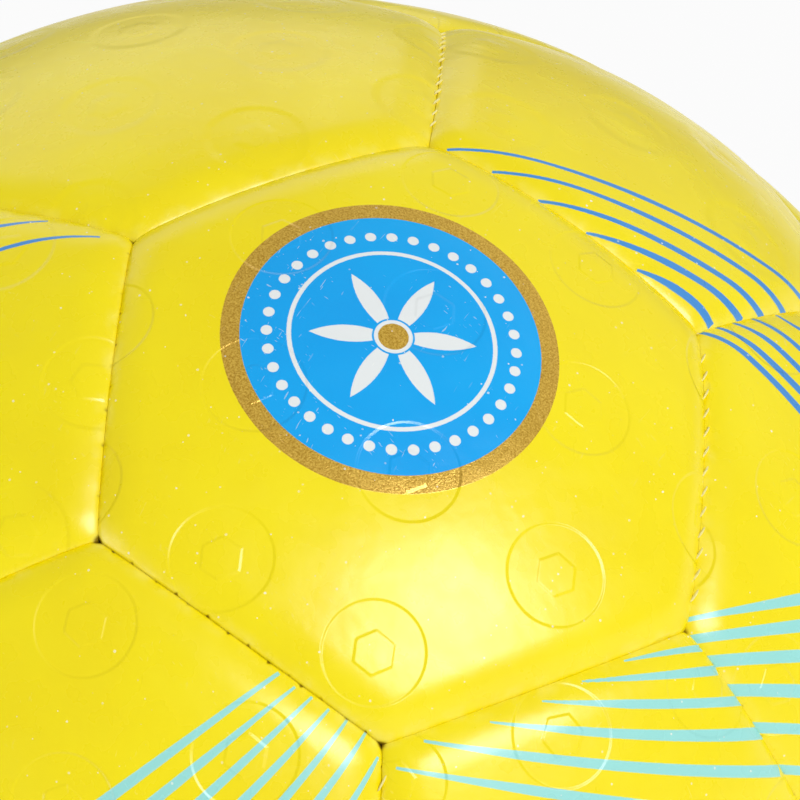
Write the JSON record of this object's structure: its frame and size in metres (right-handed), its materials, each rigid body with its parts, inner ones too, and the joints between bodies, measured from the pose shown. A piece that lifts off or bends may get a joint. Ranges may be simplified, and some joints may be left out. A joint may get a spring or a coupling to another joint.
{
  "type": "handball",
  "caption": "Round yellow team handball of stitched hexagon and pentagon panels over a rubber bladder, thrown, caught and bounced by hand.",
  "frame": {"origin": "the ball's centre", "axes": "+Z out through the middle of the top hexagon panel, which lies opposite the one that the ball rests on; +X out through the middle of a seam between two hexagons; -Y is the front"},
  "size_m": [0.1872, 0.1878, 0.188],
  "materials": {
    "cover": "satin synthetic leather, yellow",
    "foam": "closed-cell foam sheet, matt",
    "lining": "woven polyester and cotton, glued",
    "thread": "waxed polyester thread",
    "bladder": "natural latex",
    "valve": "butyl rubber, matt"
  },
  "bodies": {
    "root": {"hex_panel_01": "cover", "hex_panel_02": "cover", "hex_panel_03": "cover", "hex_panel_04": "cover", "hex_panel_05": "cover", "hex_panel_06": "cover", "hex_panel_07": "cover", "hex_panel_08": "cover", "hex_panel_09": "cover", "hex_panel_10": "cover", "hex_panel_11": "cover", "hex_panel_12": "cover", "hex_panel_13": "cover", "hex_panel_14": "cover", "hex_panel_15": "cover", "hex_panel_16": "cover", "hex_panel_17": "cover", "hex_panel_18": "cover", "hex_panel_19": "cover", "hex_panel_20": "cover", "pent_panel_01": "cover", "pent_panel_02": "cover", "pent_panel_03": "cover", "pent_panel_04": "cover", "pent_panel_05": "cover", "pent_panel_06": "cover", "pent_panel_07": "cover", "pent_panel_08": "cover", "pent_panel_09": "cover", "pent_panel_10": "cover", "pent_panel_11": "cover", "pent_panel_12": "cover", "hex_foam_pads": "foam", "pent_foam_pads": "foam", "hex_linings": "lining", "pent_linings": "lining", "thread_hex_hex": "thread", "thread_hex_pent": "thread", "bladder": "bladder", "valve_patch": "bladder", "valve_sleeve": "valve", "valve_core": "valve"}
  },
  "joints": []
}
